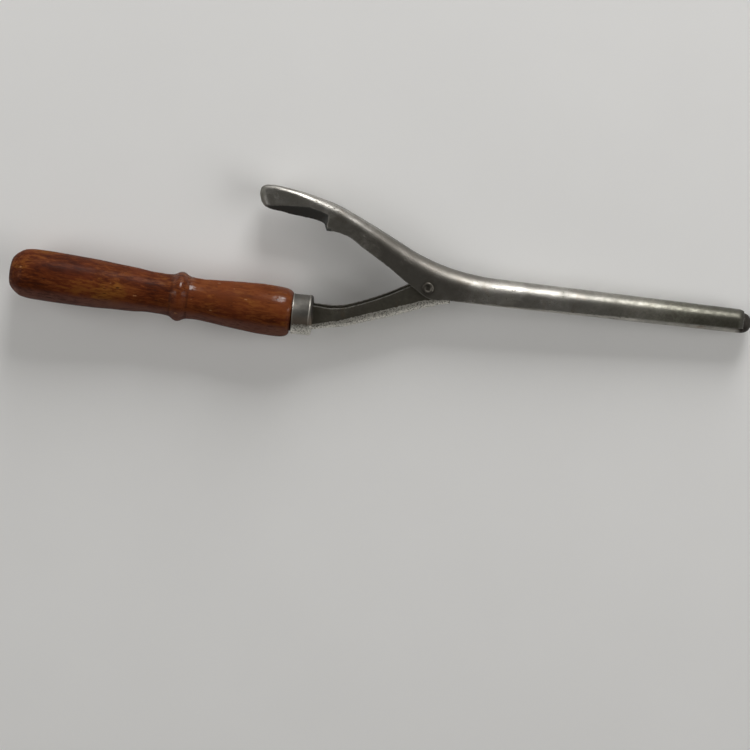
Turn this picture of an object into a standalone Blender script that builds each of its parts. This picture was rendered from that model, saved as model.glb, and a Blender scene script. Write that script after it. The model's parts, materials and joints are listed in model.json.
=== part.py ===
"""Hair curling tongs: a pressed-steel thumb lever and clamp, riveted to a shank that holds a round
steel rod, with a turned wooden handle. The tongs lie on their side: +X runs along the barrel to its
tip, +Y is the lever's side and +Z is the pivot's axis. Outlines are in millimetres from the pivot."""

import math

import bmesh
import bpy
import numpy as np
from mathutils import Matrix, Vector

MM = 0.001

# Handle, ferrule and their common axis, which leans a little against the barrel
HANDLE_LENGTH = 101.5 * MM
HANDLE_RADIUS = 9.0 * MM
BUTT_X = -149.0 * MM
BUTT_Y = -11.9 * MM
HANDLE_LEAN = math.radians(-2.06)
SPIGOT_RADIUS = 6.2 * MM
SPIGOT_LENGTH = 3.6 * MM
BORE_RADIUS = 3.8 * MM
BORE_DEPTH = 45.0 * MM
FERRULE_RADIUS = 7.3 * MM
FERRULE_LENGTH = 7.6 * MM
FERRULE_BULGE = 0.8 * MM

# Sheet metal and the gaps that moving and fitted faces keep
GAP = 0.3 * MM
CLAMP_SHEET = 0.7 * MM
SHANK_SHEET = 0.85 * MM
PIVOT_GAP = 0.2 * MM
HEAD_GAP = 0.1 * MM

# Barrel: the rod tapers towards its tip, and the clamp's trough lies over it
ROD_ROOT_X = 3.8 * MM
ROD_SPIGOT_END_X = 8.8 * MM
ROD_SPIGOT_RADIUS = 3.95 * MM
ROD_FLATS_END_X = 21.0 * MM
ROD_NOSE_X = 111.6 * MM
ROD_NOSE_LENGTH = 4.5 * MM
ROD_ROOT_RADIUS = 4.4 * MM
ROD_TIP_RADIUS = 3.73 * MM
CLAMP_END_X = 113.1 * MM

# Shank, pivot and spring
SHANK_HALF_WIDTH = 4.3 * MM
TANG_HALF_WIDTH = 2.3 * MM
CHEEK_BOTTOM_Y = -3.1 * MM
FLOOR_END_X = 8.3 * MM
PIVOT_HALF_WIDTH = 5.45 * MM
RIVET_RADIUS = 1.45 * MM
RIVET_HEAD_RADIUS = 2.1 * MM
RIVET_HEAD_HEIGHT = 0.5 * MM
BUSH_WALL = 0.5 * MM
ROD_RIVET_X = 14.0 * MM
ROD_RIVET_RADIUS = 1.2 * MM
SPRING_WIRE_RADIUS = 0.45 * MM
SPRING_TURNS = 3
SPRING_PITCH = 1.15 * MM
SPRING_TURN_POINTS = 14
SPRING_LEG_INSET = 0.35  # how near the channel's middle the legs lie, as a share of the coil's ends

ROUND_STEPS = 36
SMALL_ROUND_STEPS = 24
SMOOTH_ANGLE = math.radians(35)
CUT_MARGIN = 2.0 * MM
MERGE_DISTANCE = 0.00001

# The handle's outer profile: distance from the butt, and radius
HANDLE_PROFILE = [
    (0.0, 3.6),
    (0.7, 5.3),
    (2.2, 6.95),
    (5.0, 8.5),
    (9.0, 8.95),
    (14.0, 9.0),
    (22.0, 8.9),
    (30.5, 8.65),
    (38.0, 8.2),
    (45.0, 7.85),
    (51.0, 7.3),
    (55.0, 7.35),
    (57.8, 7.75),
    (59.4, 8.45),
    (61.0, 8.7),
    (62.6, 8.4),
    (64.4, 7.75),
    (68.0, 7.4),
    (73.0, 7.7),
    (79.0, 8.25),
    (85.5, 8.7),
    (91.5, 9.0),
    (96.5, 8.95),
    (99.6, 8.55),
    (101.1, 8.0),
    (101.5, 7.6),
]

# The lever and clamp: crest x and y, lower edge x and y, half width, crown radius, curl of the lips
LEVER_STATIONS = [
    (-62.6, 22.9, -61.7, 22.0, 1.9, 1.2, 0.2),
    (-63.0, 25.1, -61.3, 21.8, 3.6, 2.0, 1.0),
    (-62.6, 27.4, -60.5, 21.6, 4.9, 2.4, 1.7),
    (-61.2, 28.7, -59.2, 21.2, 5.6, 2.6, 2.1),
    (-58.6, 29.0, -57.2, 20.9, 5.8, 2.7, 2.4),
    (-50.5, 28.2, -51.5, 20.5, 5.8, 2.8, 2.4),
    (-41.5, 26.4, -43.9, 20.1, 5.8, 2.9, 2.0),
    (-38.4, 25.7, -41.0, 19.5, 5.75, 3.0, 1.2),
    (-36.9, 25.3, -39.1, 18.5, 5.7, 3.0, 0.5),
    (-35.9, 25.0, -38.1, 16.3, 5.7, 3.1, 0.0),
    (-33.2, 24.1, -35.6, 16.3, 5.7, 3.1, 0.0),
    (-27.8, 21.8, -30.6, 15.2, 5.6, 3.3, 0.0),
    (-20.8, 18.7, -24.3, 11.5, 5.55, 3.6, 0.0),
    (-11.6, 14.3, -15.0, 6.0, 5.5, 4.1, 0.0),
    (-3.5, 10.6, -6.0, 0.1, PIVOT_HALF_WIDTH / MM, 4.6, 0.0),
    (3.6, 8.2, 2.4, -4.0, 5.42, 5.0, 0.0),
    (7.6, 7.2, 7.0, -3.5, 5.41, 5.2, 0.0),
    (14.2, 6.1, 14.2, -3.5, 5.4, 5.4, 0.0),
]

# How a channel's section is drawn: the lip is the stretch beside the open edge that can curl inwards
LIP_HEIGHT = 2.9
LIP_SHARE = 0.6
CROWN_FLAT = 0.2
CORNER_STEPS = 6
WALL_STEPS = 2
LIP_STEPS = 3

# The clamp's trough over the rod
CLAMP_ROOT_X = 22.0
CLAMP_EDGE_ROOT_Y = -3.35
CLAMP_EDGE_TIP_Y = -1.5
CLAMP_STATIONS = 4

# The shank: bottom x and y, top edge x and y, half width, bottom corner radius
SHANK_STATIONS = [
    (-40.6, -20.2, -40.6, -11.3, 3.9, 2.7),
    (-38.6, -20.0, -38.6, -11.3, 4.0, 2.8),
    (-34.4, -19.0, -35.2, -11.5, 4.2, 2.9),
    (-28.0, -17.7, -30.5, -11.1, 4.3, 3.4),
    (-20.5, -15.2, -23.0, -8.6, 4.3, 3.9),
    (-12.0, -12.3, -14.8, -4.9, 4.3, 4.0),
    (-4.0, -9.2, -7.0, -0.6, 4.3, 4.0),
    (1.5, -7.2, -1.0, 2.6, 4.3, 3.6),
    (8.3, -5.2, 8.6, 2.2, 4.3, 3.0),
    (20.6, -4.9, 20.6, 1.7, 4.3, 2.6),
]
TANG_FRONT_X = -44.6
TANG_END_X = -86.0
TANG_FRONT_HALF_HEIGHT = 2.5
TANG_END_HALF_HEIGHT = 1.7
TANG_CORNER = 1.4

# The spring's legs after the coil: x and y
LOWER_LEG = [(-6.0, -6.3), (-14.0, -10.8), (-19.5, -13.2)]
UPPER_LEG = [(-6.2, 7.2), (-14.0, 12.8), (-18.0, 15.3)]


def clear_scene():
    for obj in list(bpy.data.objects):
        bpy.data.objects.remove(obj, do_unlink=True)


def new_collection(name):
    group = bpy.data.collections.new(name)
    bpy.context.scene.collection.children.link(group)
    return group


def principled(name, colour, roughness, metallic):
    material = bpy.data.materials.new(name)
    material.use_nodes = True
    shader = material.node_tree.nodes["Principled BSDF"]
    shader.inputs["Base Color"].default_value = (*colour, 1.0)
    shader.inputs["Roughness"].default_value = roughness
    shader.inputs["Metallic"].default_value = metallic
    return material


def add_object(name, mesh, group, material=None):
    obj = bpy.data.objects.new(name, mesh)
    group.objects.link(obj)
    if material:
        mesh.materials.append(material)
    return obj


def mesh_from(bm, name):
    mesh = bpy.data.meshes.new(name)
    bm.to_mesh(mesh)
    bm.free()
    return mesh


def smooth(mesh):
    mesh.shade_smooth()
    mesh.set_sharp_from_angle(angle=SMOOTH_ANGLE)


def cut(obj, cutter):
    boolean = obj.modifiers.new("cut_" + cutter.name, "BOOLEAN")
    boolean.operation = "DIFFERENCE"
    boolean.solver = "EXACT"
    boolean.object = cutter


def hide_cutter(obj):
    obj.hide_render = True
    obj.display_type = "WIRE"
    return obj


def cylinder_along_z(name, radius, low, high, centre, group, steps):
    bm = bmesh.new()
    place = Matrix.Translation((centre[0], centre[1], (low + high) / 2))
    bmesh.ops.create_cone(
        bm, cap_ends=True, segments=steps, radius1=radius, radius2=radius, depth=high - low, matrix=place
    )
    return add_object(name, mesh_from(bm, name), group)


def box_between(name, low, high, group):
    bm = bmesh.new()
    size = Vector(high) - Vector(low)
    middle = (Vector(high) + Vector(low)) / 2
    bmesh.ops.create_cube(bm, size=1.0, matrix=Matrix.Translation(middle) @ Matrix.Diagonal((*size, 1.0)))
    return add_object(name, mesh_from(bm, name), group)


def turned(name, profile, group, material, steps):
    """A turned piece about local Z, from points (radius, height) that run from its top down."""
    bm = bmesh.new()
    verts = [bm.verts.new((radius, 0.0, height)) for radius, height in profile]
    for first, second in zip(verts, verts[1:]):
        bm.edges.new((first, second))
    obj = add_object(name, mesh_from(bm, name), group, material)
    screw = obj.modifiers.new("turn", "SCREW")
    screw.steps = steps
    screw.render_steps = steps
    screw.use_merge_vertices = True
    screw.merge_threshold = MERGE_DISTANCE
    screw.use_smooth_shade = True
    return obj


def lay_along(obj, location, lean=0.0):
    """Turns a piece's local Z into the barrel's direction, leaning by an angle about the pivot's axis."""
    obj.location = location
    obj.rotation_euler = (0.0, math.radians(90), lean)


def eased(keys, samples_per_step, longest=4):
    """Rows between the key rows, eased with slopes that never overshoot them."""
    keys = np.array(keys, float)
    steps = np.linalg.norm(np.diff(keys[:, :2], axis=0), axis=1)
    place = np.concatenate([[0.0], np.cumsum(steps)])
    slope = np.diff(keys, axis=0) / steps[:, None]
    tangent = np.zeros_like(keys)
    same_way = slope[1:] * slope[:-1] > 0
    mean = 2 * slope[1:] * slope[:-1] / np.where(same_way, slope[1:] + slope[:-1], 1.0)
    tangent[1:-1] = np.where(same_way, mean, 0.0)
    tangent[0] = slope[0]
    tangent[-1] = slope[-1]
    rows = []
    for i, length in enumerate(steps):
        count = int(np.clip(math.ceil(length / samples_per_step), 1, longest))
        for j in range(count):
            t = j / count
            near = (1 + 2 * t) * (1 - t) ** 2 * keys[i] + t * (1 - t) ** 2 * length * tangent[i]
            far = t * t * (3 - 2 * t) * keys[i + 1] + t * t * (t - 1) * length * tangent[i + 1]
            rows.append(near + far)
    rows.append(keys[-1])
    return rows


def half_section(height, half_width, corner, curl):
    """Points (across, down) from the middle of the back, round its corner and down one side."""
    corner = min(corner, half_width - CROWN_FLAT)
    points = [(0.0, 0.0)]
    for i in range(CORNER_STEPS + 1):
        turn = math.radians(90) * i / CORNER_STEPS
        across = half_width - corner + corner * math.sin(turn)
        points.append((across, corner * (1 - math.cos(turn))))
    lip = min(LIP_HEIGHT, (height - corner) * LIP_SHARE)
    straight = height - corner - lip
    for i in range(1, WALL_STEPS + 1):
        points.append((half_width, corner + straight * i / WALL_STEPS))
    for i in range(1, LIP_STEPS + 1):
        turn = math.radians(90) * i / LIP_STEPS
        across = half_width - curl * (1 - math.cos(turn))
        points.append((across, height - lip + lip * math.sin(turn)))
    return points


def loft_channel(name, rows, group, material, sheet):
    """A pressed channel: each row gives its back's point, its edges' point and its section."""
    bm = bmesh.new()
    loops = []
    for back_x, back_y, edge_x, edge_y, half_width, corner, curl in rows:
        back = Vector((back_x, back_y, 0.0)) * MM
        down = Vector((edge_x, edge_y, 0.0)) * MM - back
        height = down.length / MM
        down.normalize()
        half = half_section(height, half_width, corner, curl)
        places = [(-across, depth) for across, depth in reversed(half[1:])] + half
        loop = []
        for across, depth in places:
            loop.append(bm.verts.new(back + down * depth * MM + Vector((0, 0, across * MM))))
        loops.append(loop)
    for first, second in zip(loops, loops[1:]):
        for i in range(len(first) - 1):
            bm.faces.new((first[i], first[i + 1], second[i + 1], second[i]))
    bmesh.ops.recalc_face_normals(bm, faces=bm.faces)
    obj = add_object(name, mesh_from(bm, name), group, material)
    smooth(obj.data)
    shell = obj.modifiers.new("sheet", "SOLIDIFY")
    shell.thickness = sheet
    shell.offset = -1.0
    shell.use_even_offset = True
    return obj


def rod_radius(x):
    """The rod's radius, tapering evenly from its flats to its nose."""
    share = (x - ROD_FLATS_END_X) / (ROD_NOSE_X - ROD_FLATS_END_X)
    return ROD_ROOT_RADIUS + (ROD_TIP_RADIUS - ROD_ROOT_RADIUS) * min(max(share, 0.0), 1.0)


def handle_point(distance):
    """The point of the handle's axis at a distance from its butt."""
    along = Vector((math.cos(HANDLE_LEAN), math.sin(HANDLE_LEAN), 0.0))
    return Vector((BUTT_X, BUTT_Y, 0.0)) + along * distance


def make_handle(group, material):
    front = HANDLE_LENGTH
    spigot = front + SPIGOT_LENGTH
    bottom = spigot - BORE_DEPTH
    outer = [(row[1] * MM, row[0] * MM) for row in reversed(eased(HANDLE_PROFILE, 2.2))]
    profile = [(0.0, bottom), (BORE_RADIUS, bottom), (BORE_RADIUS, spigot), (SPIGOT_RADIUS, spigot)]
    profile += [(SPIGOT_RADIUS, front)] + outer + [(0.0, 0.0)]
    handle = turned("handle", profile, group, material, ROUND_STEPS)
    lay_along(handle, handle_point(0.0), HANDLE_LEAN)
    return handle


def make_ferrule(group, cutters, material):
    rear = HANDLE_LENGTH + GAP
    rim = rear + FERRULE_LENGTH
    inside = FERRULE_RADIUS - CLAMP_SHEET
    corner = 0.85 * MM
    outer = [(0.0, rim + FERRULE_BULGE)]
    for share in (0.35, 0.7, 0.9):
        outer.append(((FERRULE_RADIUS - corner) * share, rim + FERRULE_BULGE * (1 - share**2)))
    for degrees in (0, 30, 60, 90):
        turn = math.radians(degrees)
        outer.append((FERRULE_RADIUS - corner * (1 - math.sin(turn)), rim - corner * (1 - math.cos(turn))))
    inner = [(inside, rear), (inside, rim - corner), (inside - 0.6 * corner, rim - CLAMP_SHEET)]
    inner += [(0.0, rim + FERRULE_BULGE - CLAMP_SHEET)]
    ferrule = turned("ferrule", outer + [(FERRULE_RADIUS, rear)] + inner, group, material, ROUND_STEPS)
    lay_along(ferrule, handle_point(0.0), HANDLE_LEAN)
    cut(ferrule, make_slot_cutter(cutters))
    return ferrule


def make_slot_cutter(cutters):
    """The opening in the ferrule's face, which follows the shank's section with a gap all round."""
    bottom_x, bottom_y, _, top_y, half_width, corner = SHANK_STATIONS[0]
    gap = GAP / MM
    half = half_section(top_y - bottom_y + 2 * gap, half_width + gap, corner + gap, 0.0)
    outline = [(-across, depth) for across, depth in reversed(half[1:])] + half
    bm = bmesh.new()
    low = (bottom_x - 3.0) * MM
    verts = [bm.verts.new((low, (bottom_y - gap + depth) * MM, across * MM)) for across, depth in outline]
    face = bm.faces.new(verts)
    grown = bmesh.ops.extrude_face_region(bm, geom=[face])
    moved = [item for item in grown["geom"] if isinstance(item, bmesh.types.BMVert)]
    bmesh.ops.translate(bm, verts=moved, vec=(6.0 * MM, 0.0, 0.0))
    bmesh.ops.recalc_face_normals(bm, faces=bm.faces)
    return hide_cutter(add_object("slot_cutter", mesh_from(bm, "slot_cutter"), cutters))


def make_shank(group, cutters, material):
    tang = []
    for x, half_height in ((TANG_END_X, TANG_END_HALF_HEIGHT), (TANG_FRONT_X, TANG_FRONT_HALF_HEIGHT)):
        middle = handle_point((x * MM - BUTT_X) / math.cos(HANDLE_LEAN)).y / MM
        tang.append((x, middle - half_height, x, middle + half_height, TANG_HALF_WIDTH / MM, TANG_CORNER))
    rows = eased(tang + SHANK_STATIONS, 3.0)
    rows = [(*row, 0.0) for row in rows]
    shank = loft_channel("shank", rows, group, material, SHANK_SHEET)
    reach = SHANK_HALF_WIDTH + CUT_MARGIN
    floor = box_between(
        "shank_floor_cutter",
        (FLOOR_END_X, -8.0 * MM, -reach),
        (24.0 * MM, CHEEK_BOTTOM_Y, reach),
        cutters,
    )
    cut(shank, hide_cutter(floor))
    cut(shank, make_hole_cutter("shank_pivot_cutter", RIVET_RADIUS + PIVOT_GAP, (0.0, 0.0), cutters))
    cut(shank, make_hole_cutter("shank_rod_cutter", ROD_RIVET_RADIUS + PIVOT_GAP, (ROD_RIVET_X, 0.0), cutters))
    return shank


def make_hole_cutter(name, radius, centre, cutters):
    reach = SHANK_HALF_WIDTH + 3 * CUT_MARGIN
    return hide_cutter(cylinder_along_z(name, radius, -reach, reach, centre, cutters, SMALL_ROUND_STEPS))


def make_rod(group, cutters, material):
    nose = []
    for degrees in (90, 75, 58, 40, 20):
        turn = math.radians(degrees)
        nose.append((ROD_TIP_RADIUS * math.cos(turn), ROD_NOSE_X + ROD_NOSE_LENGTH * math.sin(turn)))
    nose[0] = (0.0, nose[0][1])
    body = [(rod_radius(x), x) for x in (ROD_NOSE_X, ROD_FLATS_END_X, ROD_SPIGOT_END_X)]
    spigot = [(ROD_SPIGOT_RADIUS, x) for x in (ROD_SPIGOT_END_X, ROD_ROOT_X)]
    rod = turned("barrel_rod", nose + body + spigot + [(0.0, ROD_ROOT_X)], group, material, ROUND_STEPS)
    lay_along(rod, (0.0, 0.0, 0.0))
    flat = SHANK_HALF_WIDTH - SHANK_SHEET - GAP
    for side, name in ((1, "upper"), (-1, "lower")):
        bounds = sorted((side * flat, side * (ROD_ROOT_RADIUS + CUT_MARGIN)))
        low = (ROD_ROOT_X - CUT_MARGIN, -8.0 * MM, bounds[0])
        high = (ROD_FLATS_END_X, 8.0 * MM, bounds[1])
        cut(rod, hide_cutter(box_between("rod_flat_cutter_" + name, low, high, cutters)))
    cut(rod, make_hole_cutter("rod_hole_cutter", ROD_RIVET_RADIUS + PIVOT_GAP, (ROD_RIVET_X, 0.0), cutters))
    return rod


def make_lever(group, cutters, material):
    rows = eased(LEVER_STATIONS, 2.6)
    tip_x = CLAMP_END_X / MM
    last_round_x = tip_x - 2.0
    for i in range(CLAMP_STATIONS + 1):
        x = CLAMP_ROOT_X + (last_round_x - CLAMP_ROOT_X) * i / CLAMP_STATIONS
        rows.append(clamp_row(x, 0.0))
    rows.append(clamp_row(tip_x - 0.9, 0.12))
    rows.append(clamp_row(tip_x, 0.38))
    lever = loft_channel("lever_clamp", rows, group, material, CLAMP_SHEET)
    cut(lever, make_hole_cutter("lever_pivot_cutter", RIVET_RADIUS + PIVOT_GAP, (0.0, 0.0), cutters))
    return lever


def clamp_row(x, drop):
    """A row of the clamp's trough at x, its back lowered by drop where the tip is rounded over."""
    half_width = (rod_radius(x * MM) + GAP + CLAMP_SHEET) / MM - drop * 0.4
    share = (x - CLAMP_ROOT_X) / (CLAMP_END_X / MM - CLAMP_ROOT_X)
    edge_y = CLAMP_EDGE_ROOT_Y + (CLAMP_EDGE_TIP_Y - CLAMP_EDGE_ROOT_Y) * share
    crest_y = half_width - drop * 0.6
    return (x, crest_y, x, edge_y, half_width, half_width, 0.0)


def make_pivot_rivet(group, material):
    """A rivet with a low domed head on each wall of the lever."""
    wall = PIVOT_HALF_WIDTH + HEAD_GAP
    head = [(0.0, RIVET_HEAD_HEIGHT)]
    for share in (0.45, 0.8, 1.0):
        head.append((RIVET_HEAD_RADIUS * share, RIVET_HEAD_HEIGHT * (1 - 0.75 * share**3)))
    half = [(radius, wall + height) for radius, height in head]
    half += [(RIVET_HEAD_RADIUS, wall), (RIVET_RADIUS, wall)]
    profile = half + [(radius, -height) for radius, height in reversed(half)]
    return turned("pivot_rivet", profile, group, material, SMALL_ROUND_STEPS)


def make_pivot_bush(group, material):
    half = SHANK_HALF_WIDTH - SHANK_SHEET - GAP
    inside = RIVET_RADIUS + PIVOT_GAP
    outside = inside + BUSH_WALL
    profile = [(inside, half), (outside, half), (outside, -half), (inside, -half), (inside, half)]
    return turned("pivot_bush", profile, group, material, SMALL_ROUND_STEPS)


def make_rod_rivet(group, material):
    half = SHANK_HALF_WIDTH
    rivet = cylinder_along_z("rod_rivet", ROD_RIVET_RADIUS, -half, half, (0.0, 0.0), group, SMALL_ROUND_STEPS)
    rivet.location = (ROD_RIVET_X, 0.0, 0.0)
    rivet.data.materials.append(material)
    smooth(rivet.data)
    return rivet


def make_spring(group, material):
    """A torsion spring round the bush, one leg on the shank's floor and one under the lever's back."""
    coil_radius = RIVET_RADIUS + PIVOT_GAP + BUSH_WALL + GAP + SPRING_WIRE_RADIUS
    start = math.radians(215)
    sweep = math.radians(360 * SPRING_TURNS + 280)
    pitch = SPRING_PITCH / math.radians(360)
    count = round(SPRING_TURN_POINTS * sweep / math.radians(360))
    coil = []
    for i in range(count + 1):
        turn = sweep * i / count
        angle = start + turn
        across = (turn - sweep / 2) * pitch
        coil.append(Vector((coil_radius * math.cos(angle), coil_radius * math.sin(angle), across)))
    lower = [Vector((x * MM, y * MM, coil[0].z * SPRING_LEG_INSET)) for x, y in reversed(LOWER_LEG)]
    upper = [Vector((x * MM, y * MM, coil[-1].z * SPRING_LEG_INSET)) for x, y in UPPER_LEG]
    wire = bpy.data.curves.new("lever_spring", "CURVE")
    wire.dimensions = "3D"
    wire.bevel_depth = SPRING_WIRE_RADIUS
    wire.bevel_resolution = 2
    wire.use_fill_caps = True
    path = lower + coil + upper
    spline = wire.splines.new("POLY")
    spline.points.add(len(path) - 1)
    for point, place in zip(spline.points, path):
        point.co = (*place, 1.0)
    return add_object("lever_spring", wire, group, material)


def place_on_table(parts):
    """Hangs the pieces on an empty whose place puts the origin under the middle of their box."""
    frame = bpy.data.objects.new("tongs_frame", None)
    bpy.context.scene.collection.objects.link(frame)
    left = BUTT_X
    right = ROD_NOSE_X + ROD_NOSE_LENGTH
    top = max(station[1] for station in LEVER_STATIONS) * MM
    bottom = handle_point(93.0 * MM).y - HANDLE_RADIUS
    frame.location = (-(left + right) / 2, -(top + bottom) / 2, HANDLE_RADIUS)
    for part in parts:
        part.parent = frame
    return frame


def build():
    clear_scene()
    group = new_collection("curling_tongs")
    cutters = new_collection("cutters")
    wood = principled("varnished_wood", (0.28, 0.09, 0.035), 0.38, 0.0)
    steel = principled("worn_pressed_steel", (0.42, 0.41, 0.38), 0.36, 1.0)
    ferrule_steel = principled("ferrule_steel", (0.46, 0.45, 0.42), 0.34, 1.0)
    rod_steel = principled("rod_steel", (0.36, 0.34, 0.31), 0.42, 1.0)
    rivet_steel = principled("rivet_steel", (0.4, 0.38, 0.35), 0.4, 1.0)
    spring_steel = principled("spring_steel", (0.25, 0.25, 0.26), 0.35, 1.0)
    shank_steel = principled("shank_steel", (0.4, 0.38, 0.35), 0.4, 1.0)
    parts = [
        make_handle(group, wood),
        make_ferrule(group, cutters, ferrule_steel),
        make_shank(group, cutters, shank_steel),
        make_rod(group, cutters, rod_steel),
        make_lever(group, cutters, steel),
        make_pivot_rivet(group, rivet_steel),
        make_pivot_bush(group, rivet_steel),
        make_rod_rivet(group, rivet_steel),
        make_spring(group, spring_steel),
    ]
    place_on_table(parts + list(cutters.objects))


build()
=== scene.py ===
"""Spring-closed hair curling tongs, as photographed from above: a turned wooden handle, a steel
ferrule, a pressed shank that holds a round rod, and a thumb lever whose trough closes over the rod.
Outlines are in millimetres from the pivot, +X along the barrel and +Y towards the thumb lever."""

import json
import math

import bmesh
import bpy
import numpy as np
from mathutils import Matrix, Vector, noise


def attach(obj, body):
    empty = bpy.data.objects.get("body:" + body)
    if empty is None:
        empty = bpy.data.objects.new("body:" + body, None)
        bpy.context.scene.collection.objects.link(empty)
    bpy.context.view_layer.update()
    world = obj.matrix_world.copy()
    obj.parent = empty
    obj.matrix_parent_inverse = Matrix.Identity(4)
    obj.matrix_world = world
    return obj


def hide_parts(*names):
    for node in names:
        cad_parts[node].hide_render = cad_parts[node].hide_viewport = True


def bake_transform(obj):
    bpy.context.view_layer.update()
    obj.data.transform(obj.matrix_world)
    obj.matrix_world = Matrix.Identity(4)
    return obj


MM = 0.001

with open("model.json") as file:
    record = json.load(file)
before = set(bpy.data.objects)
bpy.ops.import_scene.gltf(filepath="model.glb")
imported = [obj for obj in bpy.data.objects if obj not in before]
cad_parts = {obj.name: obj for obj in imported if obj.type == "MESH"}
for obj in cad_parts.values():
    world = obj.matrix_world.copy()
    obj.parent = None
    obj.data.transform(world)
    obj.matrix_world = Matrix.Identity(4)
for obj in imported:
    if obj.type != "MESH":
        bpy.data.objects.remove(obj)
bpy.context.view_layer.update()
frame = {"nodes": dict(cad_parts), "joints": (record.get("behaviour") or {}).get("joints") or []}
PIVOT = Vector(frame["joints"][0]["pos_m"])

# Camera: above the tongs, tilted towards the lever's side and rolled, a little over a metre away
CAMERA_TILT = math.radians(10.0)
CAMERA_ROLL = math.radians(6.67)
CAMERA_DISTANCE = 1.1
VIEW_WIDTH = 0.2666
SENSOR_WIDTH = 36.0
RIVET_HEAD_Z = 5.8 * MM
AIM_RIGHT = -18.84 * MM
AIM_UP = -30.75 * MM

# Floor: it meets the handle's front swelling and the barrel's tip, which the tongs rest on
FLOOR_SIZE = 3.2
FLOOR_CONTACT = Vector((-54.5, 0.0, -9.0)) * MM
FLOOR_TIP = Vector((111.0, 0.0, -4.75)) * MM

# Sheet metal and the gaps between fitted faces
GAP = 0.3
CLAMP_SHEET = 0.7
SHANK_SHEET = 0.85
PIVOT_GAP = 0.2
HEAD_GAP = 0.1
SHEET_BEVEL = 0.14
EDGE_WAVE = 0.1

# Handle and ferrule: distances from the butt along their common axis
HANDLE_LENGTH = 101.5
BUTT = (-149.0, -11.9)
HANDLE_LEAN = math.radians(-2.06)
SPIGOT_RADIUS = 6.2
SPIGOT_LENGTH = 3.6
BORE_RADIUS = 3.8
BORE_DEPTH = 45.0
FERRULE_RADIUS = 7.3
FERRULE_LENGTH = 7.15
FERRULE_BULGE = 0.6
FERRULE_BEAD = 6.1  # where its bead lies, from its rear rim
FERRULE_SHOULDER = 0.95
FERRULE_WALL_DROP = 0.12  # how far its wall lies inside its radius, between its bead and its rim
FERRULE_LEAN = math.radians(1.4)
FERRULE_STAND_OFF = 0.45
HANDLE_PROFILE = [
    (0.0, 3.6),
    (0.25, 4.6),
    (0.8, 5.55),
    (2.2, 6.95),
    (5.0, 8.5),
    (9.0, 8.95),
    (14.0, 9.0),
    (22.0, 8.9),
    (30.5, 8.65),
    (38.0, 8.2),
    (45.0, 7.85),
    (51.0, 7.3),
    (55.0, 7.3),
    (57.8, 7.5),
    (58.8, 7.9),
    (59.7, 8.45),
    (60.5, 8.8),
    (61.2, 8.9),
    (62.0, 8.75),
    (62.8, 8.35),
    (63.6, 7.9),
    (64.7, 7.6),
    (68.0, 7.4),
    (73.0, 7.7),
    (79.0, 8.25),
    (85.5, 8.7),
    (91.0, 9.0),
    (95.0, 9.0),
    (98.2, 8.85),
    (100.2, 8.4),
    (101.2, 7.75),
    (101.5, 7.2),
]

HANDLE_BEAD = 62.0  # where the bead's glossy stretch has its middle

# Dirt round the handle: distance from the butt, and reach
GRIME_BANDS = [(58.2, 0.8), (64.2, 0.8), (101.4, 0.7), (0.0, 1.6)]

# Dents in the handle: distance from the butt, angle round it in degrees, reach and depth
HANDLE_DENTS = [
    (12.0, 250.0, 2.2, 0.12),
    (24.5, 75.0, 1.6, 0.1),
    (33.0, 100.0, 2.8, 0.1),
    (41.0, 62.0, 1.4, 0.12),
    (69.5, 80.0, 1.2, 0.12),
    (77.0, 118.0, 2.0, 0.1),
    (88.0, 300.0, 2.6, 0.12),
    (94.0, 20.0, 1.8, 0.1),
]

# The lever and clamp: crest x and y, lower edge x and y, half width, crown radius, curl and height of
# the lips, and how far the back leans, in degrees, so that its +Z side stands higher
LEVER_STATIONS = [
    (-62.4, 23.6, -61.5, 22.4, 1.5, 0.8, 0.0, 0.5, 5.0),
    (-63.0, 26.2, -60.9, 22.1, 2.8, 1.2, 0.1, 0.9, 5.0),
    (-62.7, 28.0, -60.0, 21.85, 3.6, 1.5, 0.3, 1.2, 5.0),
    (-61.4, 29.05, -58.9, 21.5, 4.0, 1.6, 0.6, 1.5, 5.0),
    (-58.6, 29.3, -57.2, 21.2, 4.2, 1.6, 1.0, 1.9, 5.0),
    (-55.0, 29.0, -54.7, 20.95, 4.4, 1.7, 1.6, 2.5, 5.0),
    (-50.5, 28.35, -51.5, 20.35, 4.75, 2.0, 2.2, 3.4, 5.0),
    (-45.5, 27.4, -47.2, 19.95, 5.2, 2.4, 2.5, 4.2, 4.3),
    (-41.5, 26.45, -43.9, 19.65, 5.5, 2.6, 2.5, 5.0, 3.3),
    (-38.4, 25.7, -41.0, 19.2, 5.65, 2.6, 2.1, 5.0, 2.4),
    (-36.9, 25.3, -39.1, 18.4, 5.7, 2.6, 1.2, 4.4, 2.0),
    (-35.9, 25.0, -38.1, 16.3, 5.7, 2.6, 0.0, 1.0, 1.8),
    (-33.2, 24.1, -35.6, 16.3, 5.7, 2.6, 0.0, 1.0, 1.0),
    (-27.8, 21.8, -30.6, 15.2, 5.6, 2.8, 0.0, 1.0, 0.0),
    (-20.8, 18.7, -24.3, 11.5, 5.55, 3.4, 0.0, 1.0, 0.0),
    (-11.6, 14.3, -15.0, 6.0, 5.5, 4.1, 0.0, 1.0, 0.0),
    (-3.5, 10.6, -6.0, 0.1, 5.45, 4.6, 0.0, 1.0, 0.0),
    (3.6, 8.2, 2.4, -4.0, 5.42, 5.0, 0.0, 1.0, 0.0),
    (7.6, 7.2, 7.0, -3.5, 5.41, 5.2, 0.0, 1.0, 0.0),
    (14.2, 6.1, 14.2, -3.5, 5.4, 5.4, 0.0, 1.0, 0.0),
]
LIP_BEND = 0.3  # how softly the lip's crease is rounded, in millimetres
CREASE = 0.18  # where the crease lies on the lip
FULL_CURL = 2.0
CROWN_FLAT = 0.2
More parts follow.
